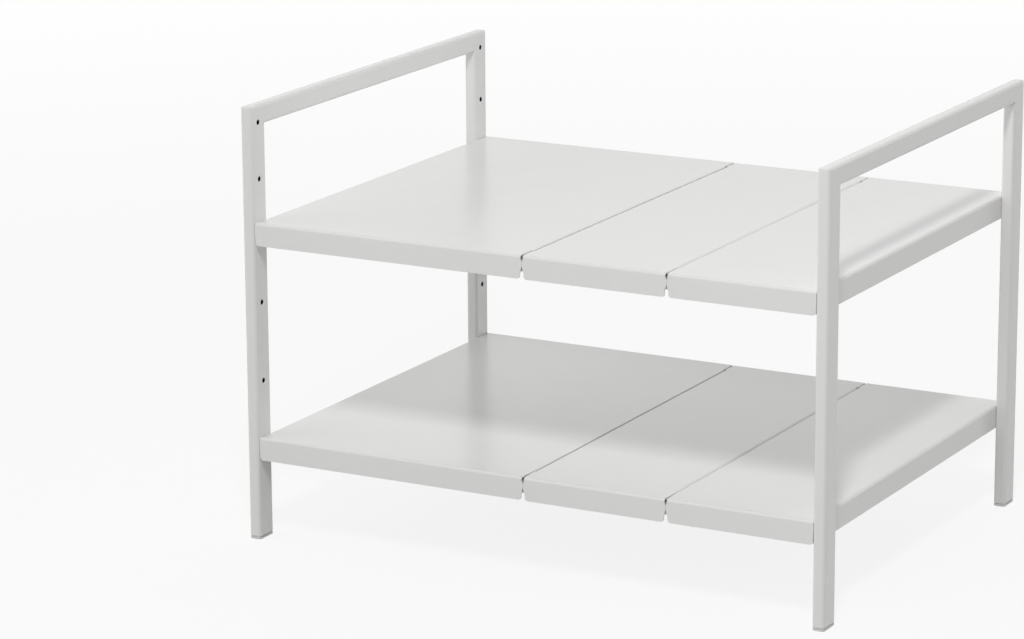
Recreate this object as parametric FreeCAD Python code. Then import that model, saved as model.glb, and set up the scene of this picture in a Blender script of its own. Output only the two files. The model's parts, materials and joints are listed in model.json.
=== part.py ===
import FreeCAD, Part
import math
import os

# Expandable counter shelf: two side frames, two shelf levels, sliding in width. Millimetres, +Z up.
# X runs from the left frame to the right frame, the front faces -Y, the floor is at Z = 0.

# Overall sizes with the shelf pushed together
closed_width = 500.0
depth = 375.0
height = 350.0

# Side frame tube
leg_width = 10.0
leg_depth = 20.0
top_rail_height = 16.0
tube_wall = 1.2
tube_round = 2.4
corner_round = 1.5

# Foot caps
foot_flange = 1.7
foot_groove = 1.0
foot_neck_inset = 0.9
foot_plug = 12.0
foot_clear = 0.1
foot_edge = 0.6

# Shelf levels, and spare holes in the legs for other levels
lower_top = 84.0
upper_below_top = 92.0
holes_above_lower = (45.0, 108.5)
holes_below_top = (58.5, 13.5)
hole_radius = 2.0
hole_chamfer = 0.35

# Folded boards
small_board = 121.5
sheet = 1.0
apron_height = 18.5
apron_setback = 1.4
apron_bend = 2.2
end_bend = 2.2
seam_gap = 0.2
seam_flange = 10.0
lip_clear = 1.4
slide_lift = 0.2
leg_gap = 0.3

# Shape of the apron ends
notch_width = 1.0
slit_width = 0.4
notch_drop = 3.2
notch_slope = 2.0
relief_radius = 1.2
edge_round = 0.85
taper_start = 0.46
taper_end = 0.76
seam_taper = 1.5
leg_taper = 0.3
apron_corner = 2.5

# Slide rails on the right half
rail_gap = 2.0
rail_width = 12.0
rail_rise = 7.0
rail_round = 1.0
plate = 2.0
plate_overlap = 1.0
rail_end_gap = 4.0
travel_margin = 6.0
cap_flange = 2.0
cap_plug = 5.0

# Guide channels on the left half
guide_sheet = 1.2
guide_gap = 0.4
guide_overlap = 170.0
bend_clear = 0.6
lip_rise = 3.0
guide_bend = 1.6
guide_cap = 3.0
guide_cap_gap = 0.3
weld_radius = 3.0
weld_count = 3
driver_notch = 7.0

# Inner boards under the wide boards
lip_gap = 2.5
inner_end_flange = 8.0
inner_end_gap = 0.8

# Screws
screw_rise = 3.5
plate_rise = 0.5
shank_clear = 0.05
hole_clear = 0.2
screw_grip = 6.0
head_radius = 3.2
head_height = 2.4
recess_width = 0.9
recess_depth = 1.1
recess_span = 3.4
stop_from_end = 10.0
stop_grip = 2.5
slot_clear = 0.35
head_gap = 0.3

# Cutters run past what they cut, and points this near count as the same
over = 1.0
mitre_over = 0.3
near = 0.01
X = FreeCAD.Vector(1, 0, 0)
Y = FreeCAD.Vector(0, 1, 0)
Z = FreeCAD.Vector(0, 0, 1)
LEFT, RIGHT = -1, 1
FRONT, BACK = -1, 1
side_names = {LEFT: "left", RIGHT: "right"}
end_names = {FRONT: "front", BACK: "back"}

# Positions that follow from the sizes above
shelf_tops = {"upper": height - upper_below_top, "lower": lower_top}
low_holes = [lower_top + rise for rise in holes_above_lower]
spare_holes = low_holes + [height - drop for drop in holes_below_top]
leg_start = foot_flange + foot_groove
inner_face = closed_width / 2 - leg_width
board_half = depth / 2 - apron_setback
rail_inset = apron_setback + sheet + rail_gap
right_start = inner_face - small_board
mid_end = right_start - seam_gap
mid_start = mid_end - small_board
wide_end = mid_start - seam_gap
travel = wide_end + inner_face - travel_margin
rail_height = apron_height - sheet - rail_rise
screw_drop = apron_height - screw_rise
plate_drop = apron_height - plate_rise
plate_top_drop = apron_bend + bend_clear
inner_flange = rail_height - lip_rise - lip_gap
shank_radius = hole_radius - shank_clear
through_radius = hole_radius + hole_clear
screw_inset = leg_depth / 2
rail_middle = rail_inset + rail_width / 2
guide_inset = rail_inset - guide_gap - guide_sheet
guide_width = rail_width + 2 * guide_gap + 2 * guide_sheet
guide_far = guide_inset + guide_width
seam_flange_half = depth / 2 - guide_far - lip_clear
rail_left = -inner_face + sheet + plate + rail_end_gap
rail_right = inner_face - sheet - plate
guide_left = -inner_face + sheet + plate
guide_right = guide_left + travel + guide_overlap
stop_x = rail_left + stop_from_end


def across(side, inset):
    """X at a distance inside the outer face of a side frame."""
    return side * (closed_width / 2 - inset)


def along(end, inset):
    """Y at a distance inside the front or back plane."""
    return end * (depth / 2 - inset)


def block(xs, ys, zs):
    corner = FreeCAD.Vector(min(xs), min(ys), min(zs))
    return Part.makeBox(abs(xs[1] - xs[0]), abs(ys[1] - ys[0]), abs(zs[1] - zs[0]), corner)


def rod(radius, start, end):
    low = FreeCAD.Vector(*start)
    line = FreeCAD.Vector(*end) - low
    return Part.makeCylinder(radius, line.Length, low, line)


def runs_along(edge, axis):
    return abs(edge.tangentAt(edge.FirstParameter).dot(axis)) > 1 - near


def soften(shape, radius, axis, keep=lambda middle: True):
    """Round the straight edges along an axis whose middle point passes the test."""
    edges = [e for e in shape.Edges if runs_along(e, axis) and keep(e.CenterOfMass)]
    return shape.makeFillet(radius, edges)


def at_height(z):
    return lambda middle: abs(middle.z - z) < near


def at_point(x, z):
    return lambda middle: abs(middle.x - x) < near and abs(middle.z - z) < near


def prism(points, length):
    """Extrude an outline given in the YZ plane along +X."""
    corners = [FreeCAD.Vector(*p) for p in points]
    face = Part.Face(Part.makePolygon(corners + corners[:1]))
    return face.extrude(X * length)


def mitre_line(end, share):
    """A point on the joint between leg and top rail, 0 at the outer corner and 1 at the inner corner."""
    return along(end, share * leg_depth), height - share * top_rail_height


def mitre_cutter(side, end, z_far):
    x0 = min(across(side, -over), across(side, leg_width + over))
    y0, z0 = mitre_line(end, -mitre_over)
    y1, z1 = mitre_line(end, 1 + mitre_over)
    return prism([(x0, y0, z0), (x0, y1, z1), (x0, y1, z_far), (x0, y0, z_far)], leg_width + 2 * over)


def corner_cutter(side, end):
    xs = (across(side, -over), across(side, leg_width + over))
    y = along(end, corner_round)
    z = height - corner_round
    edge = block(xs, (along(end, -over), y), (z, height + over))
    return edge.cut(rod(corner_round, (xs[0], y, z), (xs[1], y, z)))


def leg(side, end):
    xs = (across(side, 0), across(side, leg_width))
    ys = (along(end, 0), along(end, leg_depth))
    tube = soften(block(xs, ys, (leg_start, height)), tube_round, Z)
    hollow_xs = (across(side, tube_wall), across(side, leg_width - tube_wall))
    hollow_ys = (along(end, tube_wall), along(end, leg_depth - tube_wall))
    tube = tube.cut(block(hollow_xs, hollow_ys, (leg_start - over, height + over)))
    tube = tube.cut(mitre_cutter(side, end, height + 2 * leg_depth))
    tube = tube.cut(corner_cutter(side, end))
    y = along(end, screw_inset)
    heights = [top - screw_drop for top in shelf_tops.values()]
    for z in heights + spare_holes:
        start = (across(side, leg_width + over), y, z)
        finish = (across(side, leg_width - tube_wall - over), y, z)
        tube = tube.cut(rod(hole_radius, start, finish))
        mouth = FreeCAD.Vector(across(side, leg_width), y, z)
        flare = hole_radius + hole_chamfer
        tube = tube.cut(Part.makeCone(flare, hole_radius, hole_chamfer, mouth, X * side))
    return tube


def top_rail(side):
    xs = (across(side, 0), across(side, leg_width))
    ys = (along(FRONT, 0), along(BACK, 0))
    tube = soften(block(xs, ys, (height - top_rail_height, height)), tube_round, Y)
    hollow_xs = (across(side, tube_wall), across(side, leg_width - tube_wall))
    hollow_zs = (height - top_rail_height + tube_wall, height - tube_wall)
    tube = tube.cut(block(hollow_xs, (ys[0] - over, ys[1] + over), hollow_zs))
    for end in (FRONT, BACK):
        tube = tube.cut(mitre_cutter(side, end, height - 2 * leg_depth))
        tube = tube.cut(corner_cutter(side, end))
    return tube


def foot(side, end):
    xs = (across(side, 0), across(side, leg_width))
    ys = (along(end, 0), along(end, leg_depth))
    flange = soften(block(xs, ys, (0, foot_flange)), tube_round, Z)
    flange = flange.makeFillet(foot_edge, [e for e in flange.Edges if e.BoundBox.ZMax < foot_flange / 2])
    cap = flange
    steps = ((foot_neck_inset, leg_start), (tube_wall + foot_clear, leg_start + foot_plug))
    for inset, top in steps:
        step_xs = (across(side, inset), across(side, leg_width - inset))
        step_ys = (along(end, inset), along(end, leg_depth - inset))
        cap = cap.fuse(block(step_xs, step_ys, (foot_flange, top)))
    return cap.removeSplitter()


def tray(xs, half, top, drop, bend):
    """A sheet with its front and back edges turned down."""
    outer = soften(block(xs, (-half, half), (top - drop, top)), bend, X, at_height(top))
    inner_half = half - sheet
    low = top - drop - over
    inner = block((min(xs) - over, max(xs) + over), (-inner_half, inner_half), (low, top - sheet))
    inner = soften(inner, bend - sheet, X, at_height(top - sheet))
    return outer.cut(inner)


def turn_down(board, x_end, outward, half, top, drop, bend):
    """Turn one end of a tray down between its side flanges."""
    reach = x_end - outward * 2 * bend
    beyond = x_end + outward * over
    board = board.cut(block((reach, beyond), (-half, half), (top - sheet - over, top + over)))
    lip = block((reach, x_end), (-half, half), (top - drop, top))
    lip = soften(lip, bend, Y, at_point(x_end, top))
    inside = x_end - outward * sheet
    under = top - sheet
    room = block((reach - outward * over, inside), (-half - over, half + over), (top - drop - over, under))
    room = soften(room, bend - sheet, Y, at_point(inside, under))
    return board.fuse(lip.cut(room)).removeSplitter()


def relieved(board, x_end, top):
    """Cut a round relief at both ends of a seam's bend or rounded edge."""
    for end in (FRONT, BACK):
        y = end * seam_flange_half
        board = board.cut(rod(relief_radius, (x_end, y, top - 2 * end_bend), (x_end, y, top + over)))
    return board


def seam_end(board, x_end, outward, top):
    """Turn a board's end down at a seam."""
    board = turn_down(board, x_end, outward, seam_flange_half, top, seam_flange, end_bend)
    return relieved(board, x_end, top)


def plain_end(board, x_end, outward, top):
    """Round the upper edge of a board's end that stays flat at a seam."""
    x = x_end - outward * edge_round
    z = top - edge_round
    half = seam_flange_half
    corner = block((x, x_end + outward * over), (-half, half), (z, top + over))
    corner = corner.cut(rod(edge_round, (x, -half - over, z), (x, half + over, z)))
    return relieved(board.cut(corner), x_end, top)


def bend_notch(x_end, outward, end, top):
    """A narrowing slit in the top sheet, from the notch in the apron's bend to the relief."""
    slit_end = depth / 2 - seam_flange_half
    outline = [(-over, 0), (notch_width, 0), (notch_width, apron_setback + apron_bend)]
    outline = outline + [(slit_width, slit_end), (-over, slit_end)]
    corners = [FreeCAD.Vector(x_end - outward * x, along(end, y), top - 2 * sheet) for x, y in outline]
    return Part.Face(Part.makePolygon(corners + corners[:1])).extrude(Z * (2 * sheet + over))


def apron_trim(x_end, outward, end, top, taper, notch):
    """The slope, rounded lower corner and bend notch at one end of an apron."""
    bottom = top - apron_height
    y = along(end, -over)

    def at(inset, z):
        return FreeCAD.Vector(x_end - outward * inset, y, z)
    bow = apron_corner * (1 - math.sqrt(0.5))
    tip = at(taper, bottom + apron_corner)
    turn = at(taper + apron_corner, bottom)
    upper = [at(-over, top + over), at(notch, top + over), at(notch, top - notch_drop)]
    upper = upper + [at(0, top - notch_drop - notch_slope), at(0, top - taper_start * apron_height)]
    upper = upper + [at(taper, top - taper_end * apron_height), tip]
    lower = [turn, at(taper + apron_corner, bottom - over), at(-over, bottom - over), upper[0]]
    arc = Part.Arc(tip, at(taper + bow, bottom + bow), turn).toShape()
    wire = Part.Wire(Part.makePolygon(upper).Edges + [arc] + Part.makePolygon(lower).Edges)
    thick = over + apron_setback + apron_bend
    return Part.Face(wire).extrude(Y * (-end * thick))


def trimmed(board, x_end, outward, top):
    """Shape the ends of both aprons at a seam."""
    for end in (FRONT, BACK):
        board = board.cut(apron_trim(x_end, outward, end, top, seam_taper, notch_width))
        board = board.cut(bend_notch(x_end, outward, end, top))
    return board


def screw_points(level):
    return [(along(end, screw_inset), shelf_tops[level] - screw_drop) for end in (FRONT, BACK)]


def leg_end(board, side, level, top):
    """Turn a board's end down against the legs and drill it for the frame screws."""
    half = board_half - apron_bend
    for end in (FRONT, BACK):
        board = board.cut(apron_trim(side * (inner_face - leg_gap), side, end, top, leg_taper, 0))
    board = turn_down(board, side * inner_face, side, half, top, apron_height, apron_bend)
    for y, z in screw_points(level):
        start = (side * (inner_face - sheet - over), y, z)
        board = board.cut(rod(through_radius, start, (side * (inner_face + over), y, z)))
    return board


def wide_board(level):
    top = shelf_tops[level] + slide_lift
    board = tray((-inner_face + leg_gap, wide_end), board_half, top, apron_height, apron_bend)
    board = trimmed(board, wide_end, RIGHT, top)
    board = plain_end(board, wide_end, RIGHT, top)
    return leg_end(board, LEFT, level, top)


def mid_board(level):
    top = shelf_tops[level]
    board = tray((mid_start, mid_end), board_half, top, apron_height, apron_bend)
    for x_end, outward in ((mid_start, LEFT), (mid_end, RIGHT)):
        board = trimmed(board, x_end, outward, top)
        board = seam_end(board, x_end, outward, top)
    return board


def right_board(level):
    top = shelf_tops[level]
    board = tray((right_start, inner_face - leg_gap), board_half, top, apron_height, apron_bend)
    board = trimmed(board, right_start, LEFT, top)
    board = seam_end(board, right_start, LEFT, top)
    return leg_end(board, RIGHT, level, top)


def inner_board(level):
    """The lower sheet that comes into view when the wide board is drawn out."""
    top = shelf_tops[level] - sheet
    xs = (rail_left + inner_end_gap, mid_start - inner_end_gap)
    side_half = depth / 2 - rail_inset - rail_width
    board = tray(xs, side_half, top, inner_flange, end_bend)
    half = side_half - 2 * end_bend
    board = turn_down(board, xs[0], LEFT, half, top, inner_end_flange, end_bend)
    return turn_down(board, xs[1], RIGHT, half, top, inner_end_flange, end_bend)


def rail_section(level, end, xs, shrink):
    top = shelf_tops[level] - sheet
    ys = (along(end, rail_inset + shrink), along(end, rail_inset + rail_width - shrink))
    return block(xs, ys, (top - rail_height + shrink, top - shrink))


def rail(level, end):
    """A slide rail with its end plate for the right leg."""
    top = shelf_tops[level]
    tube = soften(rail_section(level, end, (rail_left, rail_right), 0), rail_round, X)
    tube = tube.cut(rail_section(level, end, (rail_left - over, rail_right), tube_wall))
    ys = (along(end, rail_inset), along(end, rail_inset + rail_width + plate_overlap))
    tube = tube.fuse(block((rail_right, rail_right + plate), ys, (top - plate_drop, top - plate_top_drop)))
    y = along(end, screw_inset)
    z = top - screw_drop
    tube = tube.cut(rod(through_radius, (rail_right - over, y, z), (rail_right + plate + over, y, z)))
    y = along(end, rail_middle)
    low = top - sheet - rail_height
    return tube.cut(rod(hole_radius, (stop_x, y, low - over), (stop_x, y, low + tube_wall + over)))


def rail_cap(level, end):
    flange = soften(rail_section(level, end, (rail_left - cap_flange, rail_left), 0), rail_round, X)
    plug = rail_section(level, end, (rail_left, rail_left + cap_plug), tube_wall + foot_clear)
    return flange.fuse(plug).removeSplitter()


def guide_section(level, end, xs, gap):
    """A channel that wraps under a slide rail, open at the top, with a short inner lip."""
    top = shelf_tops[level] - plate_top_drop
    low = shelf_tops[level] - sheet - rail_height - guide_gap
    shell = block(xs, (along(end, guide_inset), along(end, guide_far)), (low - guide_sheet, top))
    shell = soften(shell, guide_bend, X, lambda m: m.z < low)
    wall = rail_inset - gap
    room_ys = (along(end, wall), along(end, rail_inset + rail_width + gap))
    long_xs = (min(xs) - over, max(xs) + over)
    shell = shell.cut(block(long_xs, room_ys, (low + guide_gap - gap, top + over)))
    lip_ys = (along(end, guide_far - guide_sheet - over), along(end, guide_far + over))
    return shell.cut(block(long_xs, lip_ys, (low + guide_gap + lip_rise, top + over)))


def guide(level, end):
    """A guide channel with its end plate for the left leg, slotted for the stop screw."""
    top = shelf_tops[level]
    low = top - sheet - rail_height - guide_gap
    body = guide_section(level, end, (guide_left, guide_right), guide_gap)
    ys = (along(end, guide_inset), along(end, guide_far))
    body = body.fuse(block((guide_left - plate, guide_left), ys, (top - plate_drop, top - plate_top_drop)))
    weld_z = (top - plate_top_drop + low - guide_sheet) / 2
    span = wide_end - guide_left
    for index in range(weld_count):
        x = guide_left + span * (index + 0.5) / weld_count
        start = (x, along(end, apron_setback + sheet), weld_z)
        body = body.fuse(rod(weld_radius, start, (x, along(end, guide_inset + guide_sheet / 2), weld_z)))
    y = along(end, screw_inset)
    z = top - screw_drop
    body = body.cut(rod(through_radius, (guide_left - plate - over, y, z), (guide_left + over, y, z)))
    notch_ys = (y - head_radius - over, y + head_radius + over)
    notch_zs = (low - guide_sheet - over, low + over)
    body = body.cut(block((guide_left, guide_left + driver_notch), notch_ys, notch_zs))
    y = along(end, rail_middle)
    wide = shank_radius + slot_clear
    for x in (stop_x, stop_x + travel):
        body = body.cut(rod(wide, (x, y, notch_zs[0]), (x, y, notch_zs[1])))
    return body.cut(block((stop_x, stop_x + travel), (y - wide, y + wide), notch_zs))


def guide_end_cap(level, end):
    return guide_section(level, end, (guide_right, guide_right + guide_cap), guide_cap_gap)


def screw(base, axis, grip):
    """A pan head screw; the base is the middle of the head's seat, the axis points into the work."""
    seat = FreeCAD.Vector(*base)
    head = Part.makeCylinder(head_radius, head_height, seat - axis * head_height, axis)
    crown = [e for e in head.Edges if (e.CenterOfMass - seat).dot(axis) < -head_height / 2]
    head = head.makeFillet(head_height / 3, [e for e in crown if e.Closed and not runs_along(e, axis)])
    body = head.fuse(Part.makeCylinder(shank_radius, grip, seat, axis))
    top = seat - axis * head_height
    one = axis.cross(Y) if abs(axis.dot(Y)) < 0.5 else axis.cross(Z)
    two = axis.cross(one)
    for long_way, short_way in ((one, two), (two, one)):
        low = top - long_way * recess_span / 2 - short_way * recess_width / 2
        cut = [low, low + long_way * recess_span]
        cut = cut + [cut[1] + short_way * recess_width, low + short_way * recess_width]
        slot = Part.Face(Part.makePolygon(cut + cut[:1])).extrude(axis * recess_depth)
        body = body.cut(slot)
    return body


def frame_screws(side):
    seat = side * (inner_face - sheet - plate)
    grip = sheet + plate + screw_grip
    return [screw((seat, y, z), X * side, grip) for level in shelf_tops for y, z in screw_points(level)]


def stop_screws():
    made = []
    for top in shelf_tops.values():
        seat = top - sheet - rail_height - guide_gap - guide_sheet - head_gap
        grip = guide_gap + guide_sheet + head_gap + stop_grip
        made = made + [screw((stop_x, along(end, rail_middle), seat), Z, grip) for end in (FRONT, BACK)]
    return made


# Collect every piece under its own name
pieces = {}
for side in (LEFT, RIGHT):
    pieces["top_rail_" + side_names[side]] = top_rail(side)
    pieces["frame_screws_" + side_names[side]] = Part.makeCompound(frame_screws(side))
    for end in (FRONT, BACK):
        name = side_names[side] + "_" + end_names[end]
        pieces["leg_" + name] = leg(side, end)
        pieces["foot_" + name] = foot(side, end)
for level in shelf_tops:
    pieces["board_wide_" + level] = wide_board(level)
    pieces["board_mid_" + level] = mid_board(level)
    pieces["board_right_" + level] = right_board(level)
    pieces["board_inner_" + level] = inner_board(level)
    for end in (FRONT, BACK):
        name = level + "_" + end_names[end]
        pieces["rail_" + name] = rail(level, end)
        pieces["guide_" + name] = guide(level, end)
spots = [(level, end) for level in shelf_tops for end in (FRONT, BACK)]
pieces["rail_caps"] = Part.makeCompound([rail_cap(*spot) for spot in spots])
pieces["guide_caps"] = Part.makeCompound([guide_end_cap(*spot) for spot in spots])
pieces["stop_screws"] = Part.makeCompound(stop_screws())

os.makedirs("parts", exist_ok=True)
for name, shape in pieces.items():
    shape.exportStep("parts/" + name + ".step")
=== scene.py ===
"""Looks for an expandable counter shelf: satin powder coat, plastic caps and zinc plate in soft light."""
import json
import math

import bpy
from mathutils import Euler, Matrix, Vector


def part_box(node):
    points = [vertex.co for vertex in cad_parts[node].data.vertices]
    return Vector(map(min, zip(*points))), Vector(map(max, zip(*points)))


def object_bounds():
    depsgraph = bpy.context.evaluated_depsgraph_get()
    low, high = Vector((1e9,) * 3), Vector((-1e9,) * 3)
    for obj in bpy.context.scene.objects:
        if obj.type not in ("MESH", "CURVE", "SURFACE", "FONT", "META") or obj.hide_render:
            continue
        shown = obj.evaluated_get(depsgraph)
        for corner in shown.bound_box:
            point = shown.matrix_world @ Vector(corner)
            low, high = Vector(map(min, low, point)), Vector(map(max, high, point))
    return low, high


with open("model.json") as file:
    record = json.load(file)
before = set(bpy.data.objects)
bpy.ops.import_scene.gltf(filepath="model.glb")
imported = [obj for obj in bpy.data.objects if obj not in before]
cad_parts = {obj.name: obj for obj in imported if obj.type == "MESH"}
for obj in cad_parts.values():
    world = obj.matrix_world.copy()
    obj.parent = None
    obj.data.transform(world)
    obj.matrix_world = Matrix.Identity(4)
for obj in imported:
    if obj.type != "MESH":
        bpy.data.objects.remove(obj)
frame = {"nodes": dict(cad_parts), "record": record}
cad_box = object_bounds()
scene = bpy.context.scene
scene.view_settings.view_transform = "Standard"

WHITE = (1, 1, 1, 1)

# Most of a noise texture's values lie between these two
NOISE_LOW = 0.3
NOISE_HIGH = 0.7

# The Mix node's sockets for colours
MIX_SHARE = 0
MIX_FIRST = 6
MIX_SECOND = 7
MIX_RESULT = 2

# Powder coat: tone and gloss drift slowly, and the orange peel is fine; scales per metre, depths in metres
COAT_DARK = (0.868, 0.866, 0.856, 1)
COAT_LIGHT = (0.886, 0.884, 0.875, 1)
COAT_SMOOTH = 0.21
COAT_ROUGH = 0.26
DRIFT_SCALE = 9.0
PEEL_SCALE = 420.0
PEEL_DEPTH = 0.00002
PEEL_STRENGTH = 0.3

# Painted shade, near black, starts this deep below the X and Y faces of a leg: in its hollow, and in its
# holes, where little light gets in
HOLLOW_DEPTHS = (0.0011, 0.0011)
HOLE_DEPTHS = (0.0003, 0.004)
HOLLOW_PAINTED_SHADE = (0.022, 0.021, 0.02, 1)

# Moulded plastic: a fine grain over slight changes of tone
FOOT_DARK = (0.76, 0.76, 0.745, 1)
FOOT_LIGHT = (0.80, 0.80, 0.785, 1)
FOOT_ROUGH = 0.5
NYLON_DARK = (0.78, 0.78, 0.75, 1)
NYLON_LIGHT = (0.82, 0.82, 0.79, 1)
NYLON_ROUGH = 0.42
ROUGH_SPREAD = 0.06
GRAIN_SCALE = 2600.0
GRAIN_DEPTH = 0.00003
GRAIN_STRENGTH = 0.6
CLOUD_SCALE = 140.0

# Zinc plate: a mottled metal with fine scratches
ZINC_DARK = (0.43, 0.435, 0.435, 1)
ZINC_LIGHT = (0.57, 0.575, 0.575, 1)
ZINC_SMOOTH = 0.32
ZINC_ROUGH = 0.44
MOTTLE_SCALE = 700.0
SCRATCH_SCALE = 1600.0
SCRATCH_DEPTH = 0.00002
SCRATCH_STRENGTH = 0.2

# Camera, in metres and degrees, in the shelf's own frame
CAMERA_PLACE = (1.4078, -2.7757, 0.9656)
CAMERA_TILT = -14.40
CAMERA_HEADING = 28.73
CAMERA_ROLL = -0.347
CAMERA_LENS = 141.80
SENSOR_WIDTH = 36.0

# The studio as diffuse rays see it: four walls and a fill at the left; more focus is a smaller patch
WORLD_RIGHT = 0.56
WORLD_LEFT = 0.58
WORLD_FRONT = 0.37
WORLD_BACK = 1.48
WALL_FOCUS = 2.0
FILL_LEVEL = 1.4
FILL_FOCUS = 8.0
FILL_ELEVATION = 25.0
FILL_AZIMUTH = -55.0

# The key lamp above the front, in watts, metres and degrees
KEY_POWER = 31.0
KEY_DISTANCE = 3.0
KEY_ELEVATION = 48.9
KEY_AZIMUTH = 24.4
KEY_WIDTH = 0.26
KEY_HEIGHT = 0.55

# The floor: the grey that lights the shelf, and the paper that the camera sees
FLOOR_SIZE = 16.0
FLOOR_COLOUR = (0.5, 0.5, 0.5, 1)
PAPER_COLOUR = (0.95, 0.95, 0.95, 1)
PAPER_GLOW = 0.85
FADE_START = 0.5
FADE_END = 3.0


class Graph:
    """A short way to build a node tree."""

    def __init__(self, tree):
        self.tree = tree
        tree.nodes.clear()

    def add(self, kind, **inputs):
        """Make a node, and set its properties and sockets by name."""
        node = self.tree.nodes.new(kind)
        for name, value in inputs.items():
            key = name.replace("_", " ")
            if hasattr(node, name) and key not in node.inputs:
                setattr(node, name, value)
            else:
                self.feed(node.inputs[key], value)
        return node

    def feed(self, socket, value):
        """Link another node's output to a socket, or set the socket's own value."""
        if isinstance(value, bpy.types.NodeSocket):
            self.tree.links.new(value, socket)
        else:
            socket.default_value = value


def new_material(name):
    """A material, its graph, and the place in the shelf's frame that its textures follow."""
    material = bpy.data.materials.new(name)
    material.use_nodes = True
    graph = Graph(material.node_tree)
    return material, graph, graph.add("ShaderNodeTexCoord").outputs["Object"]


def noise(graph, place, scale, detail):
    return graph.add("ShaderNodeTexNoise", Vector=place, Scale=scale, Detail=detail).outputs["Fac"]


def ramp(graph, value, start, end, low, high, **settings):
    """Carry a value from one range to another."""
    node = graph.add("ShaderNodeMapRange", Value=value, From_Min=start, From_Max=end, To_Min=low, To_Max=high,
                     **settings)
    return node.outputs["Result"]


def spread(graph, value, low, high):
    """Stretch a noise texture over a range."""
    return ramp(graph, value, NOISE_LOW, NOISE_HIGH, low, high)


def tone(graph, share, first, second):
    """Mix two colours, or two outputs that hold colours."""
    node = graph.add("ShaderNodeMix", data_type="RGBA")
    for index, source in ((MIX_SHARE, share), (MIX_FIRST, first), (MIX_SECOND, second)):
        graph.feed(node.inputs[index], source)
    return node.outputs[MIX_RESULT]


def bump(graph, height, depth, strength):
    node = graph.add("ShaderNodeBump", Height=height, Distance=depth, Strength=strength)
    return node.outputs["Normal"]


def calc(graph, operation, first, second=0.0):
    node = graph.add("ShaderNodeMath", operation=operation)
    graph.feed(node.inputs[0], first)
    graph.feed(node.inputs[1], second)
    return node.outputs[0]


def coat_surface(graph, colour, rough, normal, metallic=0.0):
    """Cover the material's surface with one shader."""
    shader = graph.add("ShaderNodeBsdfPrincipled", Base_Color=colour, Roughness=rough, Normal=normal,
                       Metallic=metallic)
    graph.add("ShaderNodeOutputMaterial", Surface=shader.outputs[0])


def leg_hollow_shade_mask(graph, place):
    """Where the painted shade goes: 1 in the hollow of the four leg tubes and in their holes, 0 on their
    outer faces.
    """
    low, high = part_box("leg_right_back")
    spot = graph.add("ShaderNodeSeparateXYZ", Vector=place).outputs
    share = 0.0
    for depths in (HOLLOW_DEPTHS, HOLE_DEPTHS):
        within = 1.0
        for index, axis in enumerate("XY"):
            middle = (low[index] + high[index]) / 2
            half = (high[index] - low[index]) / 2 - depths[index]
            off = calc(graph, "SUBTRACT", calc(graph, "ABSOLUTE", spot[axis]), middle)
            near = calc(graph, "LESS_THAN", calc(graph, "ABSOLUTE", off), half)
            within = calc(graph, "MULTIPLY", near, within)
        share = calc(graph, "MAXIMUM", within, share)
    return share


def powder_coat(name, painted_hole_shade=False):
    """Satin off-white powder coat: fine orange peel, slight changes of tone and gloss; on request, near-black
    painted shade in the legs' hollows and holes.
    """
    material, graph, place = new_material(name)
    drift = noise(graph, place, DRIFT_SCALE, 3.0)
    peel = noise(graph, place, PEEL_SCALE, 1.0)
    colour = tone(graph, spread(graph, drift, 0.0, 1.0), COAT_DARK, COAT_LIGHT)
    if painted_hole_shade:
        # Painted shade: near black in the legs' hollows and holes, where little light gets in
        colour = tone(graph, leg_hollow_shade_mask(graph, place), colour, HOLLOW_PAINTED_SHADE)
    rough = spread(graph, drift, COAT_SMOOTH, COAT_ROUGH)
    coat_surface(graph, colour, rough, bump(graph, peel, PEEL_DEPTH, PEEL_STRENGTH))
    return material


def moulded_plastic(name, dark, light, roughness):
    """Moulded plastic with a fine spark-eroded grain."""
    material, graph, place = new_material(name)
    grain = noise(graph, place, GRAIN_SCALE, 2.0)
    cloud = noise(graph, place, CLOUD_SCALE, 2.0)
    colour = tone(graph, spread(graph, cloud, 0.0, 1.0), dark, light)
    rough = spread(graph, grain, roughness - ROUGH_SPREAD, roughness + ROUGH_SPREAD)
    coat_surface(graph, colour, rough, bump(graph, grain, GRAIN_DEPTH, GRAIN_STRENGTH))
    return material


def plated_steel(name):
    """Zinc-plated steel of the rails, guides and screws, slightly mottled."""
    material, graph, place = new_material(name)
    mottle = noise(graph, place, MOTTLE_SCALE, 3.0)
    scratch = noise(graph, place, SCRATCH_SCALE, 1.0)
    colour = tone(graph, spread(graph, mottle, 0.0, 1.0), ZINC_DARK, ZINC_LIGHT)
    rough = spread(graph, mottle, ZINC_SMOOTH, ZINC_ROUGH)
    coat_surface(graph, colour, rough, bump(graph, scratch, SCRATCH_DEPTH, SCRATCH_STRENGTH), 1.0)
    return material


def dress():
    """Give every node the material that its slot in the record names; the legs get near-black painted shade
    in their hollows and holes.
    """
    finishes = {
        "powder_coat": powder_coat("powder_coat"),
        "foot_plastic": moulded_plastic("foot_plastic", FOOT_DARK, FOOT_LIGHT, FOOT_ROUGH),
        "nylon": moulded_plastic("nylon", NYLON_DARK, NYLON_LIGHT, NYLON_ROUGH),
        "zinc_steel": plated_steel("zinc_steel"),
    }
    leg_coat_with_hole_shade = powder_coat("leg_coat_with_hole_shade", painted_hole_shade=True)
    for part in frame["record"]["subparts"]:
        finish = finishes[part["material_slot"]]
        if part["node"].startswith("leg_"):
            finish = leg_coat_with_hole_shade
        mesh = frame["nodes"][part["node"]].data
        mesh.materials.clear()
        mesh.materials.append(finish)


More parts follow.
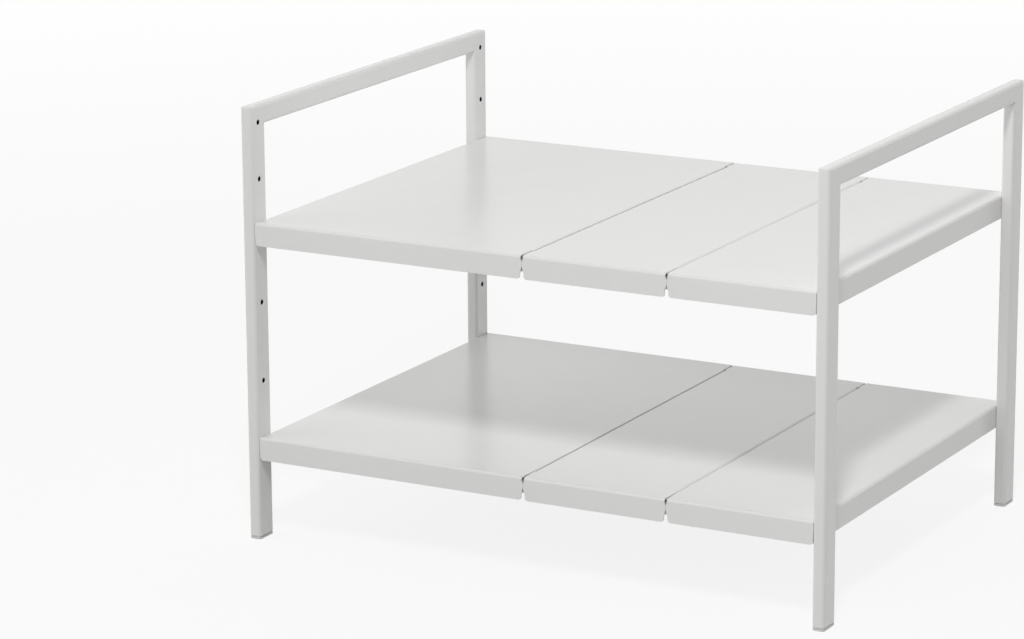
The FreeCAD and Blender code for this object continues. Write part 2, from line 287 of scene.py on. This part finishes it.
def seen_directly(graph):
    """1 for camera, mirror and glass rays, 0 for the rays that light the object."""
    path = graph.add("ShaderNodeLightPath").outputs
    camera_or_mirror = calc(graph, "MAXIMUM", path["Is Camera Ray"], path["Is Glossy Ray"])
    return calc(graph, "MAXIMUM", camera_or_mirror, path["Is Transmission Ray"])


def blend(graph, share, first, second):
    """Mix two shaders."""
    mix = graph.add("ShaderNodeMixShader")
    for index, source in enumerate((share, first.outputs[0], second.outputs[0])):
        graph.feed(mix.inputs[index], source)
    return mix


def bearing(azimuth, elevation):
    """The way from the shelf to a light; azimuth 0 is the front, 90 the right."""
    turn, rise = math.radians(azimuth), math.radians(elevation)
    return Vector((math.sin(turn) * math.cos(rise), -math.cos(turn) * math.cos(rise), math.sin(rise)))


def lobe(graph, way, axis, share, focus):
    """A soft patch of light that is strongest along an axis and gone at right angles to it."""
    facing = graph.add("ShaderNodeVectorMath", operation="DOT_PRODUCT")
    graph.feed(facing.inputs[0], way)
    graph.feed(facing.inputs[1], axis)
    toward = calc(graph, "MAXIMUM", facing.outputs["Value"])
    return calc(graph, "MULTIPLY", calc(graph, "POWER", toward, focus), share)


def light_world():
    """Light from the studio's walls and fill, with a white backdrop for the rays that see it directly."""
    world = bpy.data.worlds.new("studio")
    world.use_nodes = True
    scene.world = world
    graph = Graph(world.node_tree)
    way = graph.add("ShaderNodeTexCoord").outputs["Generated"]
    level = lobe(graph, way, bearing(FILL_AZIMUTH, FILL_ELEVATION), FILL_LEVEL, FILL_FOCUS)
    walls = {(1, 0, 0): WORLD_RIGHT, (-1, 0, 0): WORLD_LEFT, (0, -1, 0): WORLD_FRONT, (0, 1, 0): WORLD_BACK}
    for axis, share in walls.items():
        level = calc(graph, "ADD", lobe(graph, way, axis, share, WALL_FOCUS), level)
    ambient = graph.add("ShaderNodeBackground", Color=WHITE, Strength=level)
    white = graph.add("ShaderNodeBackground", Color=WHITE, Strength=1.0)
    backdrop = blend(graph, seen_directly(graph), ambient, white)
    graph.add("ShaderNodeOutputWorld", Surface=backdrop.outputs[0])


def lay_floor():
    """Pale paper that is brightest far from the shelf, where it meets the white backdrop."""
    bpy.ops.mesh.primitive_plane_add(size=FLOOR_SIZE, location=(0, 0, 0))
    floor = bpy.context.object
    floor.name = "floor"
    material, graph, place = new_material("floor")
    far = graph.add("ShaderNodeVectorMath", operation="LENGTH", Vector=place).outputs["Value"]
    fade = ramp(graph, far, FADE_START, FADE_END, PAPER_GLOW, 1.0, interpolation_type="SMOOTHSTEP")
    paper = graph.add("ShaderNodeBsdfDiffuse", Color=PAPER_COLOUR)
    glow = graph.add("ShaderNodeEmission", Color=WHITE, Strength=1.0)
    seen = blend(graph, fade, paper, glow)
    plain = graph.add("ShaderNodeBsdfDiffuse", Color=FLOOR_COLOUR)
    cover = blend(graph, seen_directly(graph), plain, seen)
    graph.add("ShaderNodeOutputMaterial", Surface=cover.outputs[0])
    floor.data.materials.append(material)


def hang_key():
    """A tall lamp aimed at the middle of the shelf."""
    data = bpy.data.lights.new("key", "AREA")
    data.shape = "RECTANGLE"
    data.size = KEY_WIDTH
    data.size_y = KEY_HEIGHT
    data.energy = KEY_POWER
    way = bearing(KEY_AZIMUTH, KEY_ELEVATION)
    lamp = bpy.data.objects.new("key", data)
    lamp.location = (cad_box[0] + cad_box[1]) / 2 + way * KEY_DISTANCE
    lamp.rotation_euler = (-way).to_track_quat("-Z", "Y").to_euler()
    scene.collection.objects.link(lamp)


def place_camera():
    """The photograph's viewing angle."""
    data = bpy.data.cameras.new("camera")
    data.sensor_width = SENSOR_WIDTH
    data.lens = CAMERA_LENS
    camera = bpy.data.objects.new("camera", data)
    camera.location = CAMERA_PLACE
    turn = Euler((math.radians(90 + CAMERA_TILT), 0, math.radians(CAMERA_HEADING))).to_matrix()
    roll = Matrix.Rotation(math.radians(CAMERA_ROLL), 3, "Z")
    camera.rotation_euler = (turn @ roll).to_euler()
    scene.collection.objects.link(camera)
    scene.camera = camera


dress()
light_world()
lay_floor()
hang_key()
place_camera()
